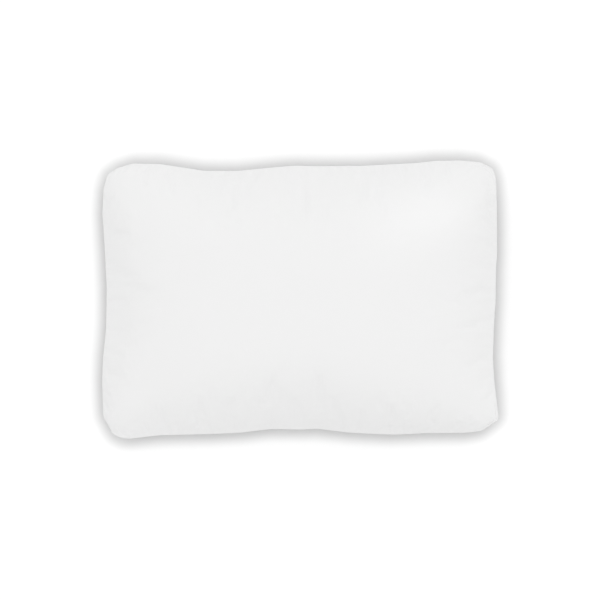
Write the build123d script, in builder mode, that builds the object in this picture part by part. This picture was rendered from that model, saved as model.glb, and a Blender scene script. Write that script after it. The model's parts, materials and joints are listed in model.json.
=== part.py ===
"""A bed pillow lying flat: a zipped cotton cover over a sewn inner pillow stuffed with hollow fibre.

Millimetres, +Z up. The origin is the middle of the footprint, on the surface that the pillow rests on.
X runs along the pillow's long side. The zip is set under the +X edge, below the overhanging seam.
"""

import os
from math import cos, radians, sin

from build123d import *

# ---- Form ---------------------------------------------------------------------------------------
SEAM_Z = 33.0  # height of the edge seam above the surface
CROWN = 93.0  # how far the top rises above the edge seam

# The edge seam from above, anticlockwise from the middle of the +X side. The long waves are where
# the filling pushes the edge out or lets it sink in.
OUTLINE = [
    (339, 7.5), (341.5, 94.5), (341, 154.5), (339, 204.5), (331, 227.5), (312.5, 238.5),
    (268.5, 242), (174, 237), (78.5, 232), (-5, 233.5), (-120.5, 223.5), (-155.5, 223.5),
    (-251, 235.5), (-294, 235.5), (-320.5, 226.5), (-334.5, 212.5), (-341, 194.5),
    (-343.5, 149.5), (-339.5, 85.5), (-335.5, 15.5), (-339.5, -83.5), (-343.5, -146.5),
    (-341.5, -201.5), (-333.5, -219.5), (-319.5, -237.5), (-297, -242.5), (-242, -237),
    (-155.5, -234), (-86, -230), (-25, -225.5), (17.5, -226), (78.5, -231.5),
    (161, -236), (243.5, -233), (295.5, -231.5), (330, -220.5), (343, -202.5),
    (337, -150.5), (333.5, -89.5),
]
HALF_X = max(abs(x) for x, y in OUTLINE)
HALF_Y = max(abs(y) for x, y in OUTLINE)

# The crown falls as (1 - share ** power) ** fullness from the middle, share 0, to the seam, share 1.
CROWN_POWER = 3
CROWN_FULLNESS = 0.8
CROWN_SHARES = (1.0, 0.955, 0.88, 0.78, 0.66, 0.52, 0.36, 0.16)  # where its sections are taken
CORNER_PULL = 0.36  # how much rounder the contours get towards the crown
# The underside rounds in from the seam to the flat patch by a quarter of an ellipse.
BASE_ROUND = 44.0  # how far in from the seam the flat patch starts
BASE_TURNS = range(90, -1, -15)  # degrees round it, from the flat patch up to the seam
BASE_PULL = 0.1  # how much rounder the contours get towards the flat patch

# ---- Layers -------------------------------------------------------------------------------------
CLOTH = 1.0  # the cover's cotton
ALLOWANCE = 11.0  # how far each panel's edge is turned in at the seam
SEAM_STITCH = (3.6, 4.2)  # the lock stitch through both allowances, inset from the seam
OVERLOCK = (8.4, 11.5)  # the overlock round their raw edges, inset from the seam
THREAD_T = 0.5  # how far any row of stitches stands proud
LINER = (0.905, 0.94)  # the inner pillow's outline as shares of the cover's, along X and Y
LINER_CLOTH = 0.8  # the casing's cotton
LINER_ALLOWANCE = 9.0
LINER_STITCH = (3.0, 3.6)
LINER_TOP_GAP = 2.0  # between the cover and the inner pillow, at the crown
LINER_BASE_GAP = 0.6  # the same at the base
FILL_GAP = 0.4  # between the casing and the fibre
CLOSING_HALF = 90.0  # half the gap that the fibre went in by, sewn up from outside
CLOSING_T = 1.0  # how far its stitches stand out round the edge

# ---- Zip, along Y, facing +X --------------------------------------------------------------------
FACE_X = 316.0  # the outside of the cloth that the zip is sewn behind
ZIP_Z = 20.0  # middle of the chain
NICHE_HALF = 178.0  # half the length of the tuck that the zip lies in
NICHE_Z = (8.0, 30.0)
SLOT_HALF = 160.0  # half the opening in the cloth over the chain
SLOT_W = 12.0
TAPE_HALF = 170.0
TAPE_T = 0.8
TAPE_W = 9.0  # each of the two tapes
CHAIN_HALF = 148.0  # half the length of the coils
CHAIN_GAP = 1.4  # between the two coils, where the slider's neck runs
COIL_W = 2.4
COIL_T = 2.0
COIL_CHAMFER = 0.5
STOP_L = 3.0
STOP_FILLET = 0.6
STITCH_FROM_SLOT = 2.0
BAR_TACK_W = 1.6
STOP_CLEAR = 1.0  # from the slider to a stop at each end of its travel

# ---- Slider and pull tab ------------------------------------------------------------------------
SLIDER_L = 11.0
SLIDER_W = 10.4
PLATE_T = 1.2
PLATE_CUT = 0.6  # off the plates' trailing corners
PLATE_FILLET = 0.5
NOSE_L = 3.0  # where the plates narrow towards the leading end
NOSE_CUT = 1.6
SLIDER_CLEAR = 0.4  # round the chain and the tapes
FLANGE_T = 1.0
FLANGE_INSET = 0.7  # from the plates' sides
FLANGE_TRIM = 0.4  # from their trailing end
NECK_T = 0.7
NECK_L = 2.4
NECK_TRIM = 0.6  # from their leading end
POST_T = 0.8
POST_L = 2.0
POST_GAP = 3.6  # between the bail's two posts
BAIL_R = 0.6
BAIL_LIFT = 2.1  # the bail's axis above the slider's face
EYE_R = 1.6
EYE_BORE_R = 0.9
EYE_W = 3.0
SHANK_L = 4.0  # from the bail to where the tab starts to widen
SHOULDER_L = 8.0  # from the bail to its full width
TAB_L = 26.0
TAB_W = 6.4
TAB_T = 1.4
TAB_END_R = 2.6
GRIP_L = 9.0  # the slot through the grip
GRIP_W = 2.6
GRIP_FROM_END = 2.2

# ---- Care label, under the -Y edge --------------------------------------------------------------
LABEL_X = 176.0
LABEL_W = 36.0
LABEL_T = 0.5
LABEL_EDGE_Y = -235.0  # the edge seam where the label is caught
LABEL_TURNS = (4, 20, 36, 52)  # degrees down the underside's round

COIL_BACK = FACE_X - CLOTH
COIL_FACE = COIL_BACK + COIL_T
TAPE_BACK = COIL_BACK - TAPE_T
SLIDER_FACE = COIL_FACE + SLIDER_CLEAR + PLATE_T
SLIDER_BACK = TAPE_BACK - SLIDER_CLEAR - PLATE_T
SLIDER_Y = CHAIN_HALF - STOP_CLEAR - SLIDER_L / 2  # the slider's middle, zip closed
SLIDER_TRAVEL = 2 * SLIDER_Y
BAIL_X = SLIDER_FACE + BAIL_LIFT
BAIL_Y = SLIDER_Y


def contour(share=1.0, pull=0.0, inset=0.0, shares=(1.0, 1.0)):
    """The edge seam's points at a share of their distance from the middle, less an inset."""
    points = []
    for x, y in OUTLINE:
        corner = abs(x * y) / (HALF_X * HALF_Y)
        drawn = share * (1 - pull * corner)
        points.append(
            (x * drawn * shares[0] * (1 - inset / HALF_X), y * drawn * shares[1] * (1 - inset / HALF_Y))
        )
    return points


def slice_at(height, points):
    """A closed smooth section at a height."""
    with BuildSketch(Plane.XY.offset(height)) as flat:
        with BuildLine():
            Spline(*points, periodic=True)
        make_face()
    return flat.sketch


def crown(shares=(1.0, 1.0), thin=0.0, drop=0.0):
    """A dome on the plane of the edge seam, thin mm smaller all round and drop mm lower at the top."""
    with BuildPart() as dome:
        for share in CROWN_SHARES:
            rise = (CROWN - drop) * (1 - share**CROWN_POWER) ** CROWN_FULLNESS
            add(slice_at(SEAM_Z + rise, contour(share, CORNER_PULL * (1 - share), thin, shares)))
        loft()
    return dome.part


def base(shares=(1.0, 1.0), thin=0.0, lift=0.0):
    """What lies under the plane of the edge seam, thin mm smaller all round, its flat lift mm up."""
    with BuildPart() as bowl:
        for turn in BASE_TURNS:
            inset = BASE_ROUND * (1 - cos(radians(turn)))
            height = lift + (SEAM_Z - lift) * (1 - sin(radians(turn)))
            add(slice_at(height, contour(1.0, BASE_PULL * inset / BASE_ROUND, inset + thin, shares)))
        loft()
    return bowl.part


def ring(insets, heights, shares=(1.0, 1.0)):
    """A flat band that follows the edge seam, between two insets from it and two heights."""
    with BuildPart() as band:
        with BuildSketch(Plane.XY.offset(heights[0])):
            with BuildLine():
                Spline(*contour(inset=insets[0], shares=shares), periodic=True)
            make_face()
            with BuildLine():
                Spline(*contour(inset=insets[1], shares=shares), periodic=True)
            make_face(mode=Mode.SUBTRACT)
        extrude(amount=heights[1] - heights[0])
    return band.part


def panel(outside, inside, heights, allowance, shares=(1.0, 1.0)):
    """What is between two solids, with its edge turned in at the seam, as thick as the two heights say."""
    with BuildPart() as room:
        add(inside)
        add(ring((-allowance, allowance), heights, shares), mode=Mode.SUBTRACT)
    with BuildPart() as cloth:
        add(outside)
        add(room.part, mode=Mode.SUBTRACT)
    return cloth.part


def lock_stitch(insets, cloth, shares=(1.0, 1.0)):
    """The needle thread over two turned-in layers of cloth and the bobbin thread under them."""
    with BuildPart() as threads:
        add(ring(insets, (SEAM_Z + cloth, SEAM_Z + cloth + THREAD_T), shares))
        add(ring(insets, (SEAM_Z - cloth - THREAD_T, SEAM_Z - cloth), shares))
    return threads.part


def block(x, y, z, mode=Mode.ADD):
    """A box between two limits on each axis."""
    with Locations(((x[0] + x[1]) / 2, (y[0] + y[1]) / 2, (z[0] + z[1]) / 2)):
        return Box(x[1] - x[0], y[1] - y[0], z[1] - z[0], mode=mode)


def write(part, name):
    """Labels a finished piece and writes it as its own node."""
    part.label = name
    export_step(part, f"parts/{name}.step")
    print(name, len(part.solids()), "solids", round(part.volume), "mm3")


# ---- Cover --------------------------------------------------------------------------------------
def cover_panels():
    top = panel(crown(), crown(thin=CLOTH, drop=CLOTH), (SEAM_Z, SEAM_Z + CLOTH), ALLOWANCE)
    write(top, "cover_top_panel")

    far = HALF_X + CLOTH
    with BuildPart() as outside:
        add(base())
        block((FACE_X, far), (-NICHE_HALF, NICHE_HALF), NICHE_Z, Mode.SUBTRACT)
    with BuildPart() as inside:
        add(base(thin=CLOTH, lift=CLOTH))
        block(
            (FACE_X - CLOTH, far),
            (-NICHE_HALF - CLOTH, NICHE_HALF + CLOTH),
            (NICHE_Z[0] - CLOTH, NICHE_Z[1] + CLOTH),
            Mode.SUBTRACT,
        )
    with BuildPart() as bottom:
        add(panel(outside.part, inside.part, (SEAM_Z - CLOTH, SEAM_Z), ALLOWANCE))
        block(
            (FACE_X - 2 * CLOTH, FACE_X + CLOTH),
            (-SLOT_HALF, SLOT_HALF),
            (ZIP_Z - SLOT_W / 2, ZIP_Z + SLOT_W / 2),
            Mode.SUBTRACT,
        )
    write(bottom.part, "cover_bottom_panel")


def cover_seam():
    """The lock stitch through the turned-in edges, and the overlock that wraps the raw ones."""
    write(lock_stitch(SEAM_STITCH, CLOTH), "cover_seam_thread")
    with BuildPart() as overlock:
        add(ring(OVERLOCK, (SEAM_Z - CLOTH - THREAD_T, SEAM_Z + CLOTH + THREAD_T)))
        add(ring((0, ALLOWANCE), (SEAM_Z - CLOTH, SEAM_Z + CLOTH)), mode=Mode.SUBTRACT)
    write(overlock.part, "cover_overlock_thread")


# ---- Inner pillow -------------------------------------------------------------------------------
def inner_pillow():
    drop, lift = CLOTH + LINER_TOP_GAP, CLOTH + LINER_BASE_GAP
    top = panel(
        crown(LINER, drop=drop), crown(LINER, LINER_CLOTH, drop + LINER_CLOTH),
        (SEAM_Z, SEAM_Z + LINER_CLOTH), LINER_ALLOWANCE, LINER,
    )
    write(top, "inner_top_panel")
    bottom = panel(
        base(LINER, lift=lift), base(LINER, LINER_CLOTH, lift + LINER_CLOTH),
        (SEAM_Z - LINER_CLOTH, SEAM_Z), LINER_ALLOWANCE, LINER,
    )
    write(bottom, "inner_bottom_panel")
    write(lock_stitch(LINER_STITCH, LINER_CLOTH, LINER), "inner_seam_thread")

    thin = LINER_CLOTH + FILL_GAP
    seam_room = LINER_CLOTH + THREAD_T + FILL_GAP
    with BuildPart() as fill:
        add(crown(LINER, thin, drop + thin))
        add(base(LINER, thin, lift + thin))
        add(
            ring((0, LINER_ALLOWANCE + FILL_GAP), (SEAM_Z - seam_room, SEAM_Z + seam_room), LINER),
            mode=Mode.SUBTRACT,
        )
    write(fill.part, "fibre_fill")

    with BuildPart() as closing:
        add(ring((-CLOSING_T, 0), (SEAM_Z - CLOSING_T, SEAM_Z + CLOSING_T), LINER))
        block(
            (-CLOSING_HALF, CLOSING_HALF), (-HALF_Y, 0), (SEAM_Z - CLOSING_T, SEAM_Z + CLOSING_T),
            Mode.INTERSECT,
        )
    write(closing.part, "inner_closing_stitch")


# ---- Zip ----------------------------------------------------------------------------------------
def zip_halves():
    """The two tapes, the two coils, their stops and the top-stitching."""
    for name, side in (("upper", 1), ("lower", -1)):
        with BuildPart() as tape:
            near, far = ZIP_Z + side * CHAIN_GAP / 2, ZIP_Z + side * (CHAIN_GAP / 2 + TAPE_W)
            block((TAPE_BACK, COIL_BACK), (-TAPE_HALF, TAPE_HALF), sorted((near, far)))
        write(tape.part, f"zip_tape_{name}")
        with BuildPart() as coil:
            near, far = ZIP_Z + side * CHAIN_GAP / 2, ZIP_Z + side * (CHAIN_GAP / 2 + COIL_W)
            block((COIL_BACK, COIL_FACE), (-CHAIN_HALF, CHAIN_HALF), sorted((near, far)))
            chamfer(coil.edges().filter_by(Axis.Y).group_by(Axis.X)[-1], COIL_CHAMFER)
        write(coil.part, f"zip_coil_{name}")

    with BuildPart() as top_stops:
        for side in (1, -1):
            near, far = ZIP_Z + side * CHAIN_GAP / 2, ZIP_Z + side * (CHAIN_GAP / 2 + COIL_W)
            block((COIL_BACK, COIL_FACE), (CHAIN_HALF, CHAIN_HALF + STOP_L), sorted((near, far)))
    write(top_stops.part, "zip_top_stops")
    with BuildPart() as bottom_stop:
        reach = CHAIN_GAP / 2 + COIL_W
        block(
            (COIL_BACK, COIL_FACE), (-CHAIN_HALF - STOP_L, -CHAIN_HALF), (ZIP_Z - reach, ZIP_Z + reach)
        )
        fillet(bottom_stop.edges().filter_by(Axis.X), STOP_FILLET)
    write(bottom_stop.part, "zip_bottom_stop")

    reach = SLOT_W / 2 + STITCH_FROM_SLOT
    with BuildPart() as stitches:
        for side in (1, -1):
            row = ZIP_Z + side * reach
            block(
                (FACE_X, FACE_X + THREAD_T), (-TAPE_HALF, TAPE_HALF),
                (row - THREAD_T / 2, row + THREAD_T / 2),
            )
    write(stitches.part, "zip_topstitching")
    with BuildPart() as tacks:
        for side in (1, -1):
            y = sorted((side * SLOT_HALF, side * (SLOT_HALF + BAR_TACK_W)))
            block(
                (FACE_X, FACE_X + THREAD_T), y, (ZIP_Z - reach + THREAD_T, ZIP_Z + reach - THREAD_T)
            )
    write(tacks.part, "zip_bar_tacks")


def slider():
    """Two plates joined by a neck at the leading end, with flanges round the coils and a bail on top."""
    leading, trailing = SLIDER_Y + SLIDER_L / 2, SLIDER_Y - SLIDER_L / 2
    half = SLIDER_W / 2
    with BuildPart() as body:
        for back in (SLIDER_BACK, SLIDER_FACE - PLATE_T):
            with BuildSketch(Plane.YZ.offset(back)):
                with BuildLine():
                    Polyline(
                        (trailing, ZIP_Z - half + PLATE_CUT), (trailing, ZIP_Z + half - PLATE_CUT),
                        (leading - NOSE_L, ZIP_Z + half), (leading, ZIP_Z + half - NOSE_CUT),
                        (leading, ZIP_Z - half + NOSE_CUT), (leading - NOSE_L, ZIP_Z - half),
                        close=True,
                    )
                plate = make_face()
                fillet(plate.vertices(), PLATE_FILLET)
            extrude(amount=PLATE_T)
        for side in (1, -1):
            wall_outside = half - FLANGE_INSET
            wall = sorted((ZIP_Z + side * wall_outside, ZIP_Z + side * (wall_outside - FLANGE_T)))
            block(
                (COIL_BACK + SLIDER_CLEAR, SLIDER_FACE - PLATE_T),
                (trailing + FLANGE_TRIM, leading - NOSE_L),
                wall,
            )
        block(
            (SLIDER_BACK, SLIDER_FACE - PLATE_T),
            (leading - NECK_TRIM - NECK_L, leading - NECK_TRIM),
            (ZIP_Z - NECK_T / 2, ZIP_Z + NECK_T / 2),
        )
        for side in (1, -1):
            post = sorted((ZIP_Z + side * POST_GAP / 2, ZIP_Z + side * (POST_GAP / 2 + POST_T)))
            block((SLIDER_FACE, BAIL_X), (BAIL_Y - POST_L / 2, BAIL_Y + POST_L / 2), post)
            with Locations((BAIL_X, BAIL_Y, sum(post) / 2)):
                Cylinder(POST_L / 2, POST_T)
        with Locations((BAIL_X, BAIL_Y, ZIP_Z)):
            Cylinder(BAIL_R, POST_GAP)
    write(body.part, "zip_slider")


def pull_tab():
    """An eye round the bail, and a flat grip that lies back over the closed chain."""
    with BuildPart() as tab:
        with BuildSketch(Plane.YZ.offset(BAIL_X - TAB_T / 2)):
            with BuildLine():
                Polyline(
                    (BAIL_Y, ZIP_Z - EYE_W / 2), (BAIL_Y, ZIP_Z + EYE_W / 2),
                    (BAIL_Y - SHANK_L, ZIP_Z + EYE_W / 2), (BAIL_Y - SHOULDER_L, ZIP_Z + TAB_W / 2),
                    (BAIL_Y - TAB_L, ZIP_Z + TAB_W / 2), (BAIL_Y - TAB_L, ZIP_Z - TAB_W / 2),
                    (BAIL_Y - SHOULDER_L, ZIP_Z - TAB_W / 2), (BAIL_Y - SHANK_L, ZIP_Z - EYE_W / 2),
                    close=True,
                )
            outline = make_face()
            fillet(outline.vertices().group_by(Axis.Y)[0], TAB_END_R)
            with Locations((BAIL_Y - TAB_L + GRIP_FROM_END + GRIP_L / 2, ZIP_Z)):
                SlotOverall(GRIP_L, GRIP_W, mode=Mode.SUBTRACT)
        extrude(amount=TAB_T)
        with Locations((BAIL_X, BAIL_Y, ZIP_Z)):
            Cylinder(EYE_R, EYE_W)
            Cylinder(EYE_BORE_R, EYE_W, mode=Mode.SUBTRACT)
    write(tab.part, "zip_pull_tab")


# ---- Care label ---------------------------------------------------------------------------------
def care_label():
    """A blank label that is caught in the edge seam and hangs down the underside."""
    outer = []
    for turn in LABEL_TURNS:
        y = LABEL_EDGE_Y + BASE_ROUND * (1 - cos(radians(turn)))
        outer.append((y, SEAM_Z * (1 - sin(radians(turn)))))
    # The inner line runs a little inside the cover, which then cuts the label to fit it.
    inner = [(y + 2 * LABEL_T, z + LABEL_T) for y, z in reversed(outer)]
    with BuildPart() as label:
        with BuildSketch(Plane.YZ.offset(LABEL_X - LABEL_W / 2)):
            with BuildLine():
                Polyline(*[(y - LABEL_T, z) for y, z in outer], *inner, close=True)
            make_face()
        extrude(amount=LABEL_W)
        add(base(), mode=Mode.SUBTRACT)
    write(label.part, "care_label")


os.makedirs("parts", exist_ok=True)
cover_panels()
cover_seam()
inner_pillow()
zip_halves()
slider()
pull_tab()
care_label()
print("slider travel", SLIDER_TRAVEL, "bail at", BAIL_X, BAIL_Y, ZIP_Z)
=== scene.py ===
"""The looks of the bed pillow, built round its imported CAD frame. Metres, in the CAD part's frame."""

import json
import math

import bpy
import numpy as np
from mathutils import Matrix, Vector

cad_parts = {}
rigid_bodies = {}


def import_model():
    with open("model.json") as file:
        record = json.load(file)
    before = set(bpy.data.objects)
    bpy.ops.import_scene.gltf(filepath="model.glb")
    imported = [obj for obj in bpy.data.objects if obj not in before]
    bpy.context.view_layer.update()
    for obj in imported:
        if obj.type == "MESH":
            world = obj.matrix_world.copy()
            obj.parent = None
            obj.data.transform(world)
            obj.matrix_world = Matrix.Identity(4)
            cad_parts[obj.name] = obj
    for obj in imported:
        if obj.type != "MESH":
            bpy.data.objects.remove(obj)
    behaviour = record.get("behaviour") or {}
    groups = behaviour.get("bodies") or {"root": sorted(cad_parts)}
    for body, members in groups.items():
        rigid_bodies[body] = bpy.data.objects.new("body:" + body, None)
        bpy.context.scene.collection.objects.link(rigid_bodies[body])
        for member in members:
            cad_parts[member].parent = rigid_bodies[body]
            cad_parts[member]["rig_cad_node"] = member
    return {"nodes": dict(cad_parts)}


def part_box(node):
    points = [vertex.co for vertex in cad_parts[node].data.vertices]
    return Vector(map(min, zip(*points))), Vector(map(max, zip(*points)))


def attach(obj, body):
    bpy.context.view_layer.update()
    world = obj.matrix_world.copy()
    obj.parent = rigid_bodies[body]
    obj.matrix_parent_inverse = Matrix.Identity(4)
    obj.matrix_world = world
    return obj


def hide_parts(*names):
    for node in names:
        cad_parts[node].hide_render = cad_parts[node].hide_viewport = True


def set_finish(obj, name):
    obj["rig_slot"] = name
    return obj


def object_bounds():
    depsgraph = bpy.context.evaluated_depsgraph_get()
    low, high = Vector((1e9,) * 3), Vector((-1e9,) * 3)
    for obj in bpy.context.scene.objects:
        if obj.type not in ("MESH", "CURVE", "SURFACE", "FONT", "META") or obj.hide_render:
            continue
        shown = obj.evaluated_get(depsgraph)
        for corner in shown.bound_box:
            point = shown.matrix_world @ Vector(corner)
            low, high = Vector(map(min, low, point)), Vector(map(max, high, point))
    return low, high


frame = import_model()
cad_low, cad_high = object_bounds()

# ---- Sizes ----
CLOTH_T = 0.0007  # the cover's cotton
LINER_T = 0.0005  # the casing's cotton
CUT = (0.70, 0.50)  # each panel's flat size
ALLOWANCE = 0.011  # how far a panel's edge is turned in at the seam
LINER_ALLOWANCE = 0.009
FOLD = 0.00035  # half the groove that shows where the two panels meet
LAP = FOLD / 6  # from the seam's middle to each turned-in edge
EDGE_CLUSTER = 0.85  # how much closer a sheet's grid lines lie towards the seam
TOP_GRID = (244, 172)  # cells along X and Y
BASE_GRID = (200, 160)
LINER_GRID = (110, 78)
FILL_GRID = (100, 70)
CROWN_POWER = 3.0
CROWN_FULLNESS = 0.8
BASE_ROUND = 0.044  # how far in from the seam the flat patch underneath starts
SIDE_HOLD = 3  # how fast the waves of the outline fade inwards
SEAM_SINK = 0.0002  # how far the seam's line sinks between the two panels
RELIEF_START = 0.03  # how far from the seam the dents and folds have their full depth
PUCKER = 0.0012  # height of the small gathers along the seam
PUCKER_REACH = 0.022
PUCKER_START = 0.003
PUCKER_WAY = (0.6, 0.8)  # how much of a gather goes outwards and how much upwards
TUFT = 0.0014  # how far the tufts of the fibre lift or let down the top
TUFT_COUNT = 26
TUFT_SIZE = (0.045, 0.085)
SEED = 7

# The seam from above as it lies, in millimetres, anticlockwise from the middle of the +X side.
SEAM_LINE = [
    (340.5, 0), (341, 53), (343, 80), (342.5, 170), (341, 211), (335.5, 229), (312, 239.5),
    (278, 242.5), (232, 241.5), (204, 238), (105, 233), (30, 232.5), (-10, 233.5), (-67, 228.5),
    (-110, 224), (-168, 224.5), (-243, 236), (-292, 237), (-319, 229), (-336, 217), (-342.5, 192),
    (-344.5, 150), (-340.5, 90), (-337, 20), (-338, -50), (-343.5, -103), (-345, -141),
    (-343, -203), (-326, -234), (-313, -241), (-299, -242.5), (-247, -236.5), (-152, -234),
    (-105, -232), (-50, -225.5), (5, -226.5), (28, -225), (88, -232), (163, -235.5), (220, -232.5),
    (289, -232), (315, -229), (344.5, -210), (345.5, -205), (338, -141), (335.5, -100), (338, -35),
]
LINE_POINTS = 1440
LINE_SOFTEN = 3  # points either side that round off the line's corners
RIM_SLACK = 1e-5  # how far a point of a flat rim may be from the rim's height
CORNER_ROUND = 4  # how tightly lines of equal distance from the seam turn its corners

seam_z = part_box("cover_top_panel")[0].z
top_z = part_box("cover_top_panel")[1].z
liner_top_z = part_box("inner_top_panel")[1].z
liner_low_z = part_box("inner_bottom_panel")[0].z
half_x = (cad_high.x - cad_low.x) / 2
half_y = (cad_high.y - cad_low.y) / 2
random = np.random.default_rng(SEED)


def smooth(a, b, x):
    t = np.clip((x - a) / (b - a), 0, 1)
    return t * t * (3 - 2 * t)


def unit(vectors):
    return vectors / np.maximum(np.linalg.norm(vectors, axis=-1, keepdims=True), 1e-12)


# ---- Outlines ----
def edge_of(points, soften=0):
    """Headings and radii of a closed line, its points spaced evenly along it."""
    closed = np.concatenate([points, points[:1]])
    far = np.concatenate([[0], np.cumsum(np.hypot(*np.diff(closed, axis=0).T))])
    at = np.linspace(0, far[-1], LINE_POINTS, endpoint=False)
    line = np.stack([np.interp(at, far, closed[:, 0]), np.interp(at, far, closed[:, 1])], axis=-1)
    line = sum(np.roll(line, k, axis=0) for k in range(-soften, soften + 1)) / (2 * soften + 1)
    heading = np.arctan2(line[:, 1], line[:, 0])
    order = np.argsort(heading)
    return heading[order], np.hypot(line[:, 0], line[:, 1])[order]


def cad_edge(name, height):
    """The outer edge of a CAD panel's flat rim."""
    mesh = frame["nodes"][name].data
    mesh.calc_loop_triangles()
    points = np.empty(len(mesh.vertices) * 3)
    mesh.vertices.foreach_get("co", points)
    triangles = np.empty(len(mesh.loop_triangles) * 3, np.int64)
    mesh.loop_triangles.foreach_get("vertices", triangles)
    points, triangles = points.reshape(-1, 3), triangles.reshape(-1, 3)
    flat = triangles[(abs(points[triangles][:, :, 2] - height) < RIM_SLACK).all(axis=1)]
    keys, joined = np.unique(points.round(7), axis=0, return_inverse=True)
    flat = joined.reshape(-1)[flat]
    edges = np.sort(np.concatenate([flat[:, [0, 1]], flat[:, [1, 2]], flat[:, [2, 0]]]), axis=1)
    edges, uses = np.unique(edges, axis=0, return_counts=True)
    near = {}
    for a, b in edges[uses == 1]:
        near.setdefault(a, []).append(b)
        near.setdefault(b, []).append(a)
    loops, left = [], set(near)
    while left:
        loop = [left.pop()]
        while True:
            step = [n for n in near[loop[-1]] if n in left]
            if not step:
                break
            loop.append(step[0])
            left.discard(step[0])
        loops.append(keys[loop])
    outer = max(loops, key=lambda p: np.hypot(p[:, 0], p[:, 1]).max())
    return edge_of(outer[:, :2])


cover_edge = edge_of(np.array(SEAM_LINE) / 1000, LINE_SOFTEN)
liner_edge = cad_edge("inner_top_panel", seam_z)


def reach(edge, heading):
    """How far the outline is from the middle along a heading."""
    return np.interp(heading, edge[0], edge[1], period=2 * math.pi)


def drawn_in(x, y, inset):
    """A place moved in from the outline."""
    return x * (1 - inset / half_x), y * (1 - inset / half_y)


def seam_points(edge, inset, height, step):
    """Points evenly spaced along the seam, with the way along it and the way in from it."""
    x, y = drawn_in(edge[1] * np.cos(edge[0]), edge[1] * np.sin(edge[0]), inset)
    x, y = np.append(x, x[0]), np.append(y, y[0])
    far = np.concatenate([[0], np.cumsum(np.hypot(np.diff(x), np.diff(y)))])
    at = np.linspace(0, far[-1], round(far[-1] / step), endpoint=False)
    line = np.stack([np.interp(at, far, x), np.interp(at, far, y), np.full(len(at), height)], axis=-1)
    along = unit(np.roll(line, -1, axis=0) - np.roll(line, 1, axis=0))
    inward = np.stack([-along[:, 1], along[:, 0], np.zeros(len(at))], axis=-1)
    return line, along, inward


# ---- Grids ----
def lines(cells, cluster=EDGE_CLUSTER):
    """Grid coordinates from -1 to 1, closer together towards the ends."""
    t = np.linspace(-1, 1, cells + 1)
    return t + cluster * np.sin(math.pi * t) / math.pi


def spread(u, v, edge, sink=0.0):
    """Where a grid coordinate lies seen from above: the square's four sides become the outline's."""
    def pushed(a, b):
        heading = np.arctan2(b * half_y, a * half_x)
        radius = reach(edge, heading) - sink
        x, y = radius * np.cos(heading), radius * np.sin(heading)
        return np.stack([x - a * half_x, y - b * half_y], axis=-1)

    right, left = (((1 + side * u) / 2) ** SIDE_HOLD for side in (1, -1))
    upper, lower = (((1 + side * v) / 2) ** SIDE_HOLD for side in (1, -1))
    one = np.ones_like(u)
    moved = right[..., None] * pushed(one, v) + left[..., None] * pushed(-one, v)
    moved += upper[..., None] * pushed(u, one) + lower[..., None] * pushed(u, -one)
    for across, a in ((right, 1), (left, -1)):
        for along, b in ((upper, 1), (lower, -1)):
            moved -= (across * along)[..., None] * pushed(a * one, b * one)
    return u * half_x + moved[..., 0], v * half_y + moved[..., 1]


def from_edge(u, v):
    """Distance from the seam, with the corners rounded."""
    dx = np.maximum((1 - abs(u)) * half_x, 1e-6)
    dy = np.maximum((1 - abs(v)) * half_y, 1e-6)
    return (dx**-CORNER_ROUND + dy**-CORNER_ROUND) ** (-1 / CORNER_ROUND)


def crowned(u, v):
    """Height of the dome, from 0 at the seam to 1 in the middle."""
    return np.clip((1 - abs(u) ** CROWN_POWER) * (1 - abs(v) ** CROWN_POWER), 0, 1) ** CROWN_FULLNESS


def rounded_under(u, v):
    """The underside from its flat patch, 0, up to the seam, 1."""
    d = np.clip(from_edge(u, v) / BASE_ROUND, 0, 1)
    return 1 - np.sqrt(1 - (1 - d) ** 2)


def resample(field, at_rows, at_columns):
    """A grid's values at other places on it, by cubic interpolation along each axis."""
    for axis, at in ((0, at_rows), (1, at_columns)):
        n = field.shape[axis]
        k = np.clip(at.astype(int), 0, n - 2)
        t = (at - k).reshape([-1 if a == axis else 1 for a in range(field.ndim)])
        a, b, c, d = (np.take(field, np.clip(k + o, 0, n - 1), axis=axis) for o in (-1, 0, 1, 2))
        cubic = 3 * (b - c) + d - a
        square = 2 * a - 5 * b + 4 * c - d
        field = b + 0.5 * t * (c - a + t * (square + t * cubic))
    return field


# ---- Relief ----
def bump(x, y, cx, cy, wide, tall, turn=0.0):
    """A rounded hill, 1 high."""
    c, s = math.cos(turn), math.sin(turn)
    along, across = (x - cx) * c + (y - cy) * s, (y - cy) * c - (x - cx) * s
    return np.exp(-((along / wide) ** 2) - (across / tall) ** 2)


CREASE_GROWS = (-0.08, 0.25)  # shares of a fold's length where it grows from nothing, and where it fades
CREASE_FADES = (1.12, 0.45)


def crease(x, y, start, end, rise, left, right):
    """A fold that runs from start to end, with its width to the left and right as seen along it."""
    start, end = np.array(start), np.array(end)
    way = (end - start) / np.linalg.norm(end - start)
    along = ((x - start[0]) * way[0] + (y - start[1]) * way[1]) / np.linalg.norm(end - start)
    across = (x - start[0]) * way[1] - (y - start[1]) * way[0]
    side = np.exp(-((across / np.where(across < 0, left, right)) ** 2))
    return rise * side * smooth(*CREASE_GROWS, along) * smooth(*CREASE_FADES, along)


tuft_places = random.uniform(-1, 1, (TUFT_COUNT, 2)) * (half_x, half_y)
tuft_sizes = random.uniform(*TUFT_SIZE, (TUFT_COUNT, 2))
tuft_heights = random.uniform(-1, 1, TUFT_COUNT) * TUFT

CORNER_FOLD = {
    "start": (0.330, 0.182), "end": (0.150, 0.080), "rise": 0.0085, "left": 0.055, "right": 0.022,
}
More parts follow.
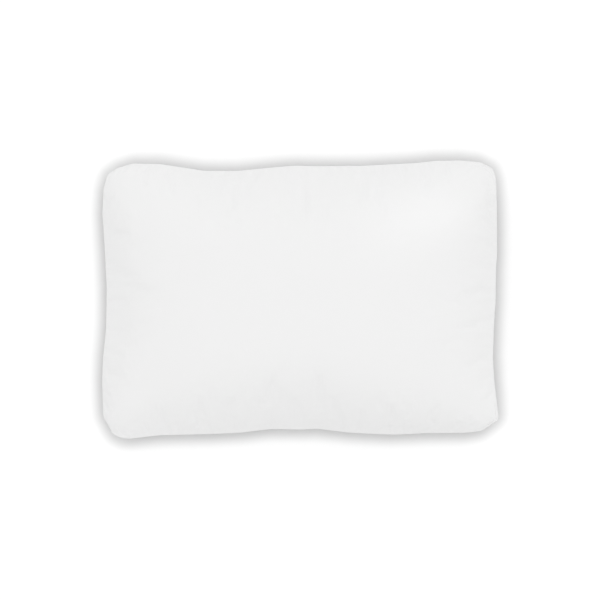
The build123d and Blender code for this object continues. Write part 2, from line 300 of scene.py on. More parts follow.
# Each dent or rise: its height, its place, its size and how far it is turned.
DENTS = [
    (0.0030, -0.292, 0.050, 0.022, 0.110, 0.0),
    (0.0030, -0.300, -0.185, 0.035, 0.030, 0.7),
    (-0.0030, -0.325, -0.030, 0.020, 0.060, 0.0),
    (0.0020, 0.060, 0.030, 0.120, 0.080, 0.0),
    (-0.0020, -0.120, -0.060, 0.100, 0.080, 0.0),
]


def relief(x, y):
    """The slow dents and folds of the top as it lies."""
    tufts = zip(tuft_places, tuft_sizes, tuft_heights)
    rise = sum(height * bump(x, y, *place, *size) for place, size, height in tufts)
    rise = rise + crease(x, y, **CORNER_FOLD)
    for height, *place_and_size in DENTS:
        rise += height * bump(x, y, *place_and_size)
    return rise


def ripple(cycles, phases, turn):
    """The mean of several waves, each with its own number of cycles to a turn."""
    return sum(np.sin(c * turn + p) for c, p in zip(cycles, phases)) / len(cycles)


PUCKER_CYCLES = (61, 83, 107, 139)  # gathers round the whole seam
pucker_phases = random.uniform(0, 2 * math.pi, (2, len(PUCKER_CYCLES)))


def pucker(points, u, v, side):
    """Small gathers that run in from the seam, where the stitching draws the cloth up."""
    turn = np.arctan2(points[..., 1] / half_y, points[..., 0] / half_x)
    d = from_edge(u, v)
    swing = ripple(PUCKER_CYCLES, pucker_phases[0 if side > 0 else 1], turn)
    swing = PUCKER * swing * np.exp(-d / PUCKER_REACH) * smooth(0, PUCKER_START, d)
    outward = unit(points[..., :2])
    points[..., :2] += (PUCKER_WAY[0] * swing)[..., None] * outward
    points[..., 2] += PUCKER_WAY[1] * side * swing


# ---- Meshes ----
def make(name, points, faces):
    mesh = bpy.data.meshes.new(name)
    mesh.from_pydata(np.asarray(points).tolist(), [], [list(f) for f in faces])
    mesh.update()
    mesh.polygons.foreach_set("use_smooth", [True] * len(mesh.polygons))
    piece = bpy.data.objects.new(name, mesh)
    bpy.context.scene.collection.objects.link(piece)
    return piece


def grid_faces(rows, columns, keep=None):
    """Quads of a grid of (rows + 1) x (columns + 1) points, seen anticlockwise from above."""
    j, i = np.meshgrid(np.arange(rows), np.arange(columns), indexing="ij")
    a = j * (columns + 1) + i
    quads = np.stack([a, a + 1, a + columns + 2, a + columns + 1], axis=-1)
    if keep is not None:
        quads = quads[keep]
    return quads.reshape(-1, 4)


def rim_of(rows, columns):
    """Indices of a grid's outer points, anticlockwise."""
    index = np.arange((rows + 1) * (columns + 1)).reshape(rows + 1, columns + 1)
    return np.concatenate([index[0, :-1], index[:-1, -1], index[-1, :0:-1], index[:0:-1, 0]])


def closed_pair(top, low):
    """Points and faces of two grids joined at their rims, and where each grid's points are in the list."""
    rows, columns = top.shape[0] - 1, top.shape[1] - 1
    rim = np.zeros(top.shape[:2], bool)
    rim.flat[rim_of(rows, columns)] = True
    index = np.arange(rim.size).reshape(rim.shape)
    under = np.where(rim, index, 0)
    under[~rim] = rim.size + np.arange((~rim).sum())
    faces = grid_faces(rows, columns)
    faces = np.concatenate([faces, under.reshape(-1)[faces][:, ::-1]])
    return np.concatenate([top.reshape(-1, 3), low[~rim]]), faces, index, under


def apply_modifiers(piece):
    mesh = bpy.data.meshes.new_from_object(piece.evaluated_get(bpy.context.evaluated_depsgraph_get()))
    old = piece.data
    piece.modifiers.clear()
    piece.data = mesh
    bpy.data.meshes.remove(old)


def thicken(piece, thickness):
    solid = piece.modifiers.new("thickness", "SOLIDIFY")
    solid.thickness = thickness
    solid.offset = -1.0
    apply_modifiers(piece)


def lay_cloth(piece, cloth_uv):
    """A UV map in metres of cloth, for the weave."""
    layer = piece.data.uv_layers.new(name="cloth")
    vertex = np.empty(len(piece.data.loops), np.int64)
    piece.data.loops.foreach_get("vertex_index", vertex)
    layer.data.foreach_set("uv", cloth_uv[vertex].astype(np.float32).ravel())


def panel(name, points, u, v, side, thickness, allowance, keep=None):
    """A sheet whose edge is turned in at the seam: side is 1 for the top one, -1 for the bottom one."""
    rows, columns = points.shape[0] - 1, points.shape[1] - 1
    rim = rim_of(rows, columns)
    cloth_uv = np.stack([u * CUT[0] / 2, v * CUT[1] / 2], axis=-1).reshape(-1, 2)
    every, uvs, faces = [points.reshape(-1, 3)], [cloth_uv], [grid_faces(rows, columns, keep)]
    before, count = rim, points.shape[0] * points.shape[1]
    for inset in (FOLD, allowance / 2, allowance):
        x, y = drawn_in(every[0][rim, 0], every[0][rim, 1], inset)
        every.append(np.stack([x, y, np.full(len(rim), seam_z + side * LAP)], axis=-1))
        uvs.append(cloth_uv[rim] * (1 + inset / half_x))
        ring = count + np.arange(len(rim))
        faces.append(np.stack([np.roll(before, -1), before, ring, np.roll(ring, -1)], axis=-1))
        before, count = ring, count + len(rim)
    faces = np.concatenate(faces)
    piece = make(name, np.concatenate(every), faces if side > 0 else faces[:, ::-1])
    lay_cloth(piece, np.concatenate(uvs))
    thicken(piece, thickness)
    return piece


def rings_to_mesh(name, rings, closed=False):
    """Closed tubes from rings of points: rings is (tubes, rings, sides, 3)."""
    tubes, along, sides = rings.shape[:3]
    index = np.arange(tubes * along * sides).reshape(tubes, along, sides)
    ahead = np.roll(index, -1, axis=1) if closed else index[:, 1:]
    here = index if closed else index[:, :-1]
    quads = np.stack([here, np.roll(here, -1, axis=2), np.roll(ahead, -1, axis=2), ahead], axis=-1)
    faces = quads.reshape(-1, 4).tolist()
    if not closed:
        faces += index[:, 0, ::-1].tolist() + index[:, -1].tolist()
    return make(name, rings.reshape(-1, 3), faces)


STITCH_RINGS = 4
STITCH_ENDS = 0.4  # how thick a stitch's thread is where it goes into the cloth, as a share


def stitches(name, start, end, out, radius, arch=0.0, sides=5):
    """Short threads from start to end, thin where they go into the cloth and raised between."""
    t = np.linspace(0, 1, STITCH_RINGS)
    way = unit(end - start)
    side = unit(np.cross(way, out))
    out = np.cross(side, way)
    middle = start[:, None] + (end - start)[:, None] * t[:, None]
    middle = middle + arch * out[:, None] * np.sin(math.pi * t)[:, None]
    thick = radius * (STITCH_ENDS + (1 - STITCH_ENDS) * np.sin(math.pi * t) ** 0.5)
    turn = np.arange(sides) * 2 * math.pi / sides
    round_it = out[:, None, None] * np.cos(turn)[:, None] + side[:, None, None] * np.sin(turn)[:, None]
    return rings_to_mesh(name, middle[:, :, None] + thick[:, None, None] * round_it)


def helix(name, line, along, first, second, sizes, pitch, radius, closed, steps=8, sides=5):
    """A thread wound round a line: first and second are the two ways across it, sizes how far it goes."""
    far = np.concatenate([[0], np.cumsum(np.linalg.norm(np.diff(line, axis=0), axis=1))])
    length = far[-1] + (np.linalg.norm(line[0] - line[-1]) if closed else 0)
    turns = round(length / pitch)
    at = np.linspace(0, length, turns * steps + 1)[: -1 if closed else None]

    def sample(values):
        if closed:
            return np.stack([np.interp(at, far, c, period=length) for c in values.T], axis=-1)
        return np.stack([np.interp(at, far, c) for c in values.T], axis=-1)

    turn = 2 * math.pi * turns * at / length
    axis = unit(sample(along))
    wound = sample(line) + sizes[0] * np.cos(turn)[:, None] * unit(sample(first))
    wound += sizes[1] * np.sin(turn)[:, None] * unit(sample(second))
    if closed:
        way = unit(np.roll(wound, -1, axis=0) - np.roll(wound, 1, axis=0))
    else:
        way = unit(np.gradient(wound, axis=0))
    across = unit(np.cross(way, axis))
    other = np.cross(way, across)
    angle = np.arange(sides) * 2 * math.pi / sides
    ring = across[:, None] * np.cos(angle)[:, None] + other[:, None] * np.sin(angle)[:, None]
    return rings_to_mesh(name, (wound[:, None] + radius * ring)[None], closed)


def settle(piece, body, node, slot):
    """Rides on a body in the place of a CAD node, with one of the record's finishes."""
    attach(piece, body)
    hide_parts(node)
    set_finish(piece, slot)
    return piece


# ---- The cover's swell, by cloth simulation ----
SIM_GRID = (124, 88)
SIM_CLUSTER = 0.45
SIM_FRAMES = 20
PRESSURE = 4.0
CAP = 0.008  # the furthest that the simulation may move a point
SWELL = 0.0075  # how much lower the crown starts, so that it swells to its height
RESTING = 0.0008  # what lies lower than this stays on the ground


def shape(u, v, crown):
    """The cover's plain top, which rises by crown over the seam, and its plain underside."""
    x, y = spread(u, v, cover_edge, SEAM_SINK)
    top = np.stack([x, y, seam_z + FOLD + crown * crowned(u, v)], axis=-1)
    low = np.stack([x, y, cad_low.z + (seam_z - FOLD - cad_low.z) * rounded_under(u, v)], axis=-1)
    return top, low


def blow_up(piece):
    """Cloth under pressure from inside, with its group of held points kept still."""
    cloth = piece.modifiers.new("cloth", "CLOTH")
    setting = cloth.settings
    setting.quality = 6
    setting.mass = 0.15
    setting.tension_stiffness = setting.compression_stiffness = 12
    setting.shear_stiffness = 6
    setting.bending_stiffness = 0.35
    setting.use_pressure = True
    setting.uniform_pressure_force = PRESSURE
    setting.shrink_min = -0.012
    setting.vertex_group_mass = "held"
    setting.effector_weights.gravity = 0.0
    cloth.collision_settings.use_collision = False
    cloth.point_cache.frame_start, cloth.point_cache.frame_end = 1, SIM_FRAMES


def simulate():
    """Blows up the closed cover a little, its seam held: how far each point of its two sides moves."""
    columns, rows = SIM_GRID
    u, v = np.meshgrid(lines(columns, SIM_CLUSTER), lines(rows, SIM_CLUSTER))
    top, low = shape(u, v, top_z - seam_z - SWELL)
    top[..., 2] += relief(top[..., 0], top[..., 1]) * crowned(u, v)
    points, faces, index, under = closed_pair(top, low)
    piece = make("sim", points, faces)
    held = piece.vertex_groups.new(name="held")
    held.add(index[index == under].tolist(), 1.0, "REPLACE")  # the seam
    held.add(np.nonzero(points[:, 2] < RESTING)[0].tolist(), 1.0, "REPLACE")
    blow_up(piece)
    for step in range(1, SIM_FRAMES + 1):
        bpy.context.scene.frame_set(step)
    shown = piece.evaluated_get(bpy.context.evaluated_depsgraph_get())
    moved = np.empty(len(points) * 3)
    shown.data.vertices.foreach_get("co", moved)
    moved = moved.reshape(-1, 3) - points
    bpy.context.scene.frame_set(1)
    mesh = piece.data
    bpy.data.objects.remove(piece)
    bpy.data.meshes.remove(mesh)
    far = np.linalg.norm(moved, axis=1, keepdims=True)
    moved *= CAP * np.tanh(far / CAP) / np.maximum(far, 1e-9)
    return moved[index], moved[under]


swell = 0.0
still = np.zeros((SIM_GRID[1] + 1, SIM_GRID[0] + 1, 3))
top_moved, low_moved = still, still
swell = SWELL
top_moved, low_moved = simulate()


def moved_at(field, u_lines, v_lines):
    """The simulation's movement at another grid's lines."""
    columns, rows = SIM_GRID
    at_columns = np.interp(u_lines, lines(columns, SIM_CLUSTER), np.arange(columns + 1))
    at_rows = np.interp(v_lines, lines(rows, SIM_CLUSTER), np.arange(rows + 1))
    return resample(field, at_rows, at_columns)


# ---- Cover, top ----
u_lines, v_lines = lines(TOP_GRID[0]), lines(TOP_GRID[1])
u, v = np.meshgrid(u_lines, v_lines)
top, _ = shape(u, v, top_z - seam_z - swell)
top[..., 2] += relief(top[..., 0], top[..., 1]) * smooth(0.0, RELIEF_START, from_edge(u, v))
top += moved_at(top_moved, u_lines, v_lines)
pucker(top, u, v, 1)
cover_top = settle(
    panel("cover_top", top, u, v, 1, CLOTH_T, ALLOWANCE), "cover", "cover_top_panel", "cover_cotton"
)

# ---- Cover, bottom, tucked in along +X behind the zip ----
FACE_X = 0.316  # the outside of the cloth that the zip is sewn behind
SLOT_HALF = 0.160
SLOT_Z = (0.014, 0.026)
TUCK_END = (0.170, 0.192)  # where along Y the tuck starts to close and where it has closed
TUCK_TURN = math.radians(68)  # how far round the underside the tuck reaches
COLUMN_GAP = 1e-3  # the least step from the plain columns of the grid to the tuck's
TUCK_STILL = (0.75, 0.90)  # the grid coordinates between which the simulation's movement fades
# How the cloth goes round the tuck, from the seam down: columns of the grid, and where it is in
# X and Z. An X of 0 or less is measured from the seam, and None is where the cloth lies untucked.
TUCK_PATH = [
    (0, 0.0, 0.03265), (3, -0.003, 0.0313), (6, 0.328, 0.0310), (5, 0.320, 0.0306), (2, 0.3168, 0.0300),
    (1, FACE_X, 0.0288), (2, FACE_X, SLOT_Z[1]), (5, FACE_X, SLOT_Z[0]), (5, FACE_X, 0.008),
    (2, 0.3159, 0.0055), (2, 0.3152, 0.0039), (7, None, None),
]
tuck_at = np.cumsum([step[0] for step in TUCK_PATH])
TUCK_COLUMNS = int(tuck_at[-1])
slot_columns = int(tuck_at[6]), int(tuck_at[7])  # at the steps of the path with the slot's two heights

turns = np.linspace(TUCK_TURN, 0, TUCK_COLUMNS + 1)
tuck_lines = 1 - BASE_ROUND * (1 - np.cos(turns)) / half_x
base_lines = lines(BASE_GRID[0])
u_lines = np.concatenate([base_lines[base_lines < tuck_lines[0] - COLUMN_GAP], tuck_lines])
v_lines = lines(BASE_GRID[1])
_, seam_y = spread(np.ones_like(v_lines), v_lines, cover_edge, SEAM_SINK)
for end in (-SLOT_HALF, SLOT_HALF):
    nearest = np.argmin(abs(seam_y - end))
    v_lines[nearest] = np.interp(end, seam_y, v_lines)
u, v = np.meshgrid(u_lines, v_lines)
_, underside = shape(u, v, 0.0)
tucked = 1 - smooth(*TUCK_END, abs(underside[..., 1]))
underside += moved_at(low_moved, u_lines, v_lines) * (1 - tucked * smooth(*TUCK_STILL, u))[..., None]
pucker(underside, u, v, -1)
underside[..., 2] = np.maximum(underside[..., 2], cad_low.z)

column_at = len(u_lines) - 1 - tuck_at  # the grid column of each step of the path
path = np.empty((len(v_lines), len(TUCK_PATH), 2))
seam_x = underside[:, -1, 0]
for k, (_, x, z) in enumerate(TUCK_PATH):
    path[:, k, 0] = underside[:, column_at[k], 0] if x is None else seam_x + x if x <= 0 else x
    path[:, k, 1] = underside[:, column_at[k], 2] if z is None else z
first = column_at[-1]
for row in range(len(v_lines)):
    for k, axis in enumerate((0, 2)):
        along = np.interp(np.arange(first, len(u_lines)), column_at[::-1], path[row, ::-1, k])
        along[1:-1] = (along[:-2] + 2 * along[1:-1] + along[2:]) / 4
        underside[row, first:, axis] += tucked[row, first:] * (along - underside[row, first:, axis])

cell_y = (underside[1:, 1:, 1] + underside[:-1, :-1, 1]) / 2
from_seam = np.arange(len(u_lines) - 1, 0, -1)
in_slot = (from_seam <= slot_columns[1]) & (from_seam > slot_columns[0])
keep = ~(in_slot[None] & (abs(cell_y) < SLOT_HALF))
cover_bottom = settle(
    panel("cover_bottom", underside, u, v, -1, CLOTH_T, ALLOWANCE, keep),
    "cover", "cover_bottom_panel", "cover_cotton",
)

# ---- Threads of the cover's seam ----
THREAD_R = 0.00022
SEAM_INSET = 0.0039
SEAM_STITCH = 0.0030
STITCH_HALF = 0.45  # how far a stitch reaches either side of its middle, as a share of its length
SEAM_STEP = 0.002  # how close the points are along a line that a thread is wound round
OVERLOCK = (0.00995, 0.0016, 0.00115, 0.0026)  # how far in, half its width and height, and its pitch


def lock_stitch(name, edge, inset, cloth, length):
    """A lock stitch through two turned-in edges: a row of threads on each side of them."""
    rows = []
    for side in (1, -1):
        line, along, _ = seam_points(edge, inset, seam_z + side * (cloth + THREAD_R), length)
        rows.append((line, along, np.tile([0.0, 0.0, float(side)], (len(line), 1))))
    line, along, out = (np.concatenate(part) for part in zip(*rows))
    reach_out = STITCH_HALF * length * along
    return stitches(name, line - reach_out, line + reach_out, out, THREAD_R)


settle(
    lock_stitch("cover_seam_stitches", cover_edge, SEAM_INSET, CLOTH_T + LAP, SEAM_STITCH),
    "cover", "cover_seam_thread", "thread",
)
line, along, inward = seam_points(cover_edge, OVERLOCK[0], seam_z, SEAM_STEP)
up = np.tile([0.0, 0.0, 1.0], (len(line), 1))
settle(
    helix("cover_overlock", line, along, inward, up, OVERLOCK[1:3], OVERLOCK[3], THREAD_R, True),
    "cover", "cover_overlock_thread", "thread",
)

# ---- Inner pillow ----
LINER_UNDER = 0.93  # how much of the cover's relief and swell the inner pillow follows
LINER_STITCH_INSET = 0.0033
LINER_SHARE = (0.905, 0.94)  # the inner pillow's size as a share of the cover's, as in the CAD


def liner_shape(u_lines, v_lines, thin, hollows=None):
    """The inner pillow's top and underside, drawn in from its casing's outside by thin metres."""
    u, v = np.meshgrid(u_lines, v_lines)
    x, y = drawn_in(*spread(u, v, liner_edge), thin)
    dome = crowned(u, v)
    moved = moved_at(top_moved, u_lines * LINER_SHARE[0], v_lines * LINER_SHARE[1])[..., 2] - swell * dome
    follow = LINER_UNDER * dome * (relief(x, y) + moved)
    upper = seam_z + FOLD + (liner_top_z - thin - seam_z - FOLD) * dome + follow
    floor_z = liner_low_z + thin
    lower = floor_z + (seam_z - FOLD - floor_z) * rounded_under(u, v)
    if hollows is not None:
        upper, lower = upper - hollows[0] * dome, lower + hollows[1] * (1 - rounded_under(u, v)) * dome
    return u, v, np.stack([x, y, upper], axis=-1), np.stack([x, y, lower], axis=-1)


u, v, upper, lower = liner_shape(lines(LINER_GRID[0]), lines(LINER_GRID[1]), 0.0)
inner_top = settle(
    panel("inner_top", upper, u, v, 1, LINER_T, LINER_ALLOWANCE),
    "cover", "inner_top_panel", "casing_cotton",
)
inner_bottom = settle(
    panel("inner_bottom", lower, u, v, -1, LINER_T, LINER_ALLOWANCE),
    "cover", "inner_bottom_panel", "casing_cotton",
)
settle(
    lock_stitch("inner_seam_stitches", liner_edge, LINER_STITCH_INSET, LINER_T + LAP, SEAM_STITCH),
    "cover", "inner_seam_thread", "thread",
)

CLOSING_HALF = 0.090
WHIP = (0.0008, 0.0014, 0.0010, 0.0042)  # how far in, half its width and height, and its pitch
line, along, inward = seam_points(liner_edge, WHIP[0], seam_z, SEAM_STEP / 2)
on_gap = (abs(line[:, 0]) < CLOSING_HALF) & (line[:, 1] < 0)
line, along, inward = line[on_gap], along[on_gap], inward[on_gap]
up = np.tile([0.0, 0.0, 1.0], (len(line), 1))
settle(
    helix("inner_whip_stitches", line, along, inward, up, WHIP[1:3], WHIP[3], THREAD_R, False, steps=12),
    "cover", "inner_closing_stitch", "thread",
)

# ---- Fibre ----
FIBRE_GAP = 0.0012
LUMP = 0.0022
LUMP_COUNT = 70
LUMP_SIZE = (0.025, 0.060)


def lumps(u, v):
    """Hollows between the tufts of the fibre, in metres."""
    x, y = u * half_x, v * half_y
    depth = np.zeros_like(x)
    for _ in range(LUMP_COUNT):
        cx, cy = random.uniform(-half_x, half_x), random.uniform(-half_y, half_y)
        wide, tall = random.uniform(*LUMP_SIZE, 2)
        depth = np.maximum(depth, bump(x, y, cx, cy, wide, tall, random.uniform(0, math.pi)))
    return LUMP * (1 - depth)


u, v = np.meshgrid(lines(FILL_GRID[0]), lines(FILL_GRID[1]))
hollows = lumps(u, v), lumps(u, v)
u, v, upper, lower = liner_shape(lines(FILL_GRID[0]), lines(FILL_GRID[1]), FIBRE_GAP, hollows)
fibre = make("fibre", *closed_pair(upper, lower)[:2])
settle(fibre, "cover", "fibre_fill", "hollow_fibre")

# ---- Zip ----
TAPE_INSET = 0.00005  # keeps the tapes' drawing inside the CAD ones
TAPE_WAVE = 0.00008
TAPE_WAVE_LENGTH = 0.037
TAPE_WAVE_SLANT = 300  # radians to a metre of the tape's width
TAPE_CELLS = (170, 9)
COIL_PITCH = 0.00125
COIL_WIRE = 0.00030
COIL_POINTS = 60
CHAIN_REACH = 0.0002  # how much nearer the chain's middle the tapes and coils come than their CAD solids
TOP_STITCH = 0.0030
STITCH_ARCH = 0.0001  # how far a stitch's middle lifts off the cloth
BAR_THREADS = 26
BAR_GAP = 0.0001  # from the slot's end to the threads across it


def chain_box(node):
    """A tape's or coil's box, brought nearer to the chain's middle."""
    low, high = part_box(node)
    if low.z > sum(SLOT_Z) / 2:
        low.z -= CHAIN_REACH
    else:
        high.z += CHAIN_REACH
    return low, high


def zip_tape(name, node):
    """A woven tape: a thin closed slab that waves very slightly along its length."""
    low, high = chain_box(node)
    along, across = (count + 1 for count in TAPE_CELLS)
    y, z = np.meshgrid(
        np.linspace(low.y, high.y, along), np.linspace(low.z, high.z, across), indexing="ij"
    )
    wave = TAPE_WAVE * np.sin(y * 2 * math.pi / TAPE_WAVE_LENGTH + z * TAPE_WAVE_SLANT)
    front = np.stack([high.x - TAPE_INSET - TAPE_WAVE + wave, y, z], axis=-1)
    piece = make(name, front.reshape(-1, 3), grid_faces(*TAPE_CELLS)[:, ::-1])
    lay_cloth(piece, np.stack([y, z], axis=-1).reshape(-1, 2))
    thicken(piece, high.x - low.x - 2 * TAPE_INSET - 2 * TAPE_WAVE)
    return settle(piece, "cover", node, "zip_tape")


def zip_coil(name, node):
    """A coil of stiff wire, sewn along the edge of its tape."""
    low, high = chain_box(node)
    y = np.linspace(low.y + COIL_WIRE, high.y - COIL_WIRE, COIL_POINTS)
    middle = (np.array(low) + np.array(high)) / 2
    line = np.stack([np.full_like(y, middle[0]), y, np.full_like(y, middle[2])], axis=-1)
    ways = ([0.0, 1.0, 0.0], [1.0, 0.0, 0.0], [0.0, 0.0, 1.0])
    along, first, second = (np.tile(way, (COIL_POINTS, 1)) for way in ways)
    sizes = (high.x - low.x) / 2 - COIL_WIRE, (high.z - low.z) / 2 - COIL_WIRE
    piece = helix(
        name, line, along, first, second, sizes, COIL_PITCH, COIL_WIRE, False, steps=12, sides=6
    )
    return settle(piece, "cover", node, "zip_nylon")


for side in ("upper", "lower"):
    zip_tape(f"tape_{side}", f"zip_tape_{side}")
for side in ("upper", "lower"):
    zip_coil(f"coil_{side}", f"zip_coil_{side}")

low_corner, high_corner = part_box("zip_topstitching")
count = round((high_corner.y - low_corner.y) / TOP_STITCH)
at = low_corner.y + TOP_STITCH * (np.arange(count) + 0.5)
rows = []
for z in (low_corner.z + THREAD_R, high_corner.z - THREAD_R):
    rows.append(np.stack([np.full(count, FACE_X + THREAD_R / 2), at, np.full(count, z)], axis=-1))
middle = np.concatenate(rows)
out = np.tile([1.0, 0.0, 0.0], (len(middle), 1))
reach_y = np.array([0.0, STITCH_HALF * TOP_STITCH, 0.0])
settle(
    stitches("zip_top_stitches", middle - reach_y, middle + reach_y, out, THREAD_R, STITCH_ARCH),
    "cover", "zip_topstitching", "thread",
)

low_corner, high_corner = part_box("zip_bar_tacks")
width = high_corner.y - SLOT_HALF
starts, ends = [], []
for side in (1, -1):
    z = np.linspace(low_corner.z + THREAD_R, high_corner.z - THREAD_R, BAR_THREADS)
    near, far = side * (SLOT_HALF + BAR_GAP), side * (SLOT_HALF + width)
    x = np.full(BAR_THREADS, FACE_X + THREAD_R / 2)
    slant = (z[1] - z[0]) / 4
    starts.append(np.stack([x, np.full(BAR_THREADS, near), z - slant], axis=-1))
    ends.append(np.stack([x, np.full(BAR_THREADS, far), z + slant], axis=-1))
starts, ends = np.concatenate(starts), np.concatenate(ends)
out = np.tile([1.0, 0.0, 0.0], (len(starts), 1))
settle(
    stitches("zip_tacks", starts, ends, out, THREAD_R, STITCH_ARCH), "cover", "zip_bar_tacks", "thread"
)

# ---- Care label, hanging against the underside ----
LABEL_T = 0.0003
LABEL_LENGTH = 0.030
LABEL_GAP = (0.0004, 0.0016)  # from the cover at its sewn end and at its free end
LABEL_CELLS = (24, 20)
LABEL_START = 0.0006  # how far down from the seam it comes out
LABEL_ROWS = 60  # rows of the cover's grid that it hangs over
LABEL_WAVE = 0.0004
LABEL_WAVE_LENGTH = 0.036
low_corner, high_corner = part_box("care_label")
label_x = np.linspace(low_corner.x, high_corner.x, LABEL_CELLS[0] + 1)
down = np.stack(
    [
        np.stack([label_x, *(np.interp(label_x, row[:, 0], row[:, axis]) for axis in (1, 2))], axis=-1)
        for row in underside[:LABEL_ROWS]
    ]
)
far = np.concatenate([[0], np.cumsum(np.linalg.norm(np.diff(down.mean(axis=1), axis=0), axis=1))])
at = LABEL_START + np.linspace(0, LABEL_LENGTH, LABEL_CELLS[1] + 1)
columns = [
    np.stack([np.interp(at, far, down[:, column, axis]) for axis in range(3)], axis=-1)
    for column in range(len(label_x))
]
surface = np.stack(columns, axis=1)
across, fall = np.gradient(surface, axis=1), np.gradient(surface, axis=0)
out = unit(np.cross(fall, across))
out *= np.sign(-out[..., 2:] - out[..., 1:2])  # away from the cover: down and towards -Y
share = np.linspace(0, 1, LABEL_CELLS[1] + 1)[:, None]
gap = LABEL_T + LABEL_GAP[0] + (LABEL_GAP[1] - LABEL_GAP[0]) * share**2
gap = gap + LABEL_WAVE * share * np.sin(label_x / LABEL_WAVE_LENGTH * 2 * math.pi)[None]
hung = surface + out * gap[..., None]
hung[..., 2] = np.maximum(hung[..., 2], cad_low.z + 2 * LABEL_T)
label = make("label", hung.reshape(-1, 3), grid_faces(LABEL_CELLS[1], LABEL_CELLS[0])[:, ::-1])
label_uv = np.stack(np.broadcast_arrays(label_x[None], at[:, None]), axis=-1).reshape(-1, 2)
lay_cloth(label, label_uv)
thicken(label, LABEL_T)
settle(label, "cover", "care_label", "label_satin")

# ---- Materials ----
SLUBS = 12.0  # to a metre of thread
SLUB_THREADS = 3  # from one slub to the next across the threads
SHEEN_ROUGHNESS = 0.4
LIGHT_DEPTH = 0.001  # how far light goes into the clear nylon


def nodes_of(name):
    """A new material, with its nodes and its shader."""
    made = bpy.data.materials.new(name)
    made.use_nodes = True
    tree = made.node_tree
    return made, tree, tree.nodes["Principled BSDF"]


def add(tree, kind, inputs=None, **settings):
    """A node with its settings, and its inputs set to values or linked to other nodes' outputs."""
    node = tree.nodes.new(kind)
    for key, value in settings.items():
        setattr(node, key, value)
    for key, value in (inputs or {}).items():
        socket = node.inputs[key]
        if isinstance(value, bpy.types.NodeSocket):
            tree.links.new(value, socket)
        else:
            socket.default_value = value
    return node


def maths(tree, operation, first, second=0.0, third=0.0):
    return add(tree, "ShaderNodeMath", {0: first, 1: second, 2: third}, operation=operation).outputs[0]


def finish_of(shader, roughness, sheen=0.0, metallic=0.0, subsurface=0.0):
    values = {
        "Roughness": roughness, "Metallic": metallic,
        "Sheen Weight": sheen, "Sheen Roughness": SHEEN_ROUGHNESS,
        "Subsurface Weight": subsurface, "Subsurface Scale": LIGHT_DEPTH,
    }
    for key, value in values.items():
        shader.inputs[key].default_value = value


def toned(tree, shader, tone, drift, mask):
    """Colour that drifts by a small share from its tone with a mask between 0 and 1."""
    low = (*(c * (1 - drift) for c in tone), 1)
    high = (*(min(1.0, c * (1 + drift)) for c in tone), 1)
    mix = add(tree, "ShaderNodeMix", {"Factor": mask}, data_type="RGBA")
    for key, value in (("A", low), ("B", high)):
        next(s for s in mix.inputs if s.name == key and s.type == "RGBA").default_value = value
    mixed = next(s for s in mix.outputs if s.type == "RGBA")
    tree.links.new(mixed, shader.inputs["Base Color"])


def raised(tree, shader, layers):
    """Bumps laid over each other: pairs of a height between 0 and 1 and its depth in metres."""
    normal = None
    for height, depth in layers:
        inputs = {"Strength": 1.0, "Distance": depth, "Height": height}
        if normal is not None:
            inputs["Normal"] = normal
        normal = add(tree, "ShaderNodeBump", inputs).outputs["Normal"]
    tree.links.new(normal, shader.inputs["Normal"])


def noise(tree, vector, scale, detail=2.0):
    inputs = {"Vector": vector, "Scale": scale, "Detail": detail}
    return add(tree, "ShaderNodeTexNoise", inputs, noise_dimensions="3D").outputs[0]


def halves(tree, first, second):
    """The mean of two masks."""
    return maths(tree, "MULTIPLY_ADD", first, 0.5, maths(tree, "MULTIPLY", second, 0.5))


def ranged(tree, value, before, after, interpolation="LINEAR"):
    """A value carried from one range over to another."""
    (low, high), (new_low, new_high) = before, after
    inputs = {"Value": value, "From Min": low, "From Max": high, "To Min": new_low, "To Max": new_high}
    return add(tree, "ShaderNodeMapRange", inputs, interpolation_type=interpolation).outputs[0]


def banded(tree, vector, scale, distortion, detail):
    """Slanted bands, their lines broken up by noise."""
    inputs = {"Vector": vector, "Scale": scale, "Distortion": distortion, "Detail": detail}
    settings = {"wave_type": "BANDS", "bands_direction": "DIAGONAL"}
    return add(tree, "ShaderNodeTexWave", inputs, **settings).outputs[1]


def stretched(tree, vector, by):
    return add(tree, "ShaderNodeVectorMath", {0: vector, 1: by}, operation="MULTIPLY").outputs[0]


def woven(name, tone, pitch, depth, roughness, sheen, drift, crumple):
    """Plain weave in metres of cloth: threads, slubs along both ways, soft crumples and mottling."""
    made, tree, shader = nodes_of(name)
    finish_of(shader, roughness, sheen)
    slub_across = 1 / (SLUB_THREADS * pitch)
    place = add(tree, "ShaderNodeUVMap", uv_map="cloth").outputs[0]
    part = add(tree, "ShaderNodeSeparateXYZ", {0: place})
    warp = maths(tree, "SINE", maths(tree, "MULTIPLY", part.outputs[0], math.pi / pitch))
    weft = maths(tree, "SINE", maths(tree, "MULTIPLY", part.outputs[1], math.pi / pitch))
    weave = maths(tree, "MULTIPLY_ADD", maths(tree, "MULTIPLY", warp, weft), 0.5, 0.5)
    slub_warp = noise(tree, stretched(tree, place, (slub_across, SLUBS, 1.0)), 1.0)
    slub_weft = noise(tree, stretched(tree, place, (SLUBS, slub_across, 1.0)), 1.0)
    slubs = maths(tree, "MULTIPLY_ADD", maths(tree, "ADD", slub_warp, slub_weft), 0.5, 0.0)
    folds = noise(tree, place, 55.0, 3.0)
    mottle = noise(tree, place, 14.0, 3.0)
    toned(tree, shader, tone, drift, halves(tree, slubs, mottle))
    raised(tree, shader, [(folds, crumple), (slubs, depth), (weave, depth)])
    return made


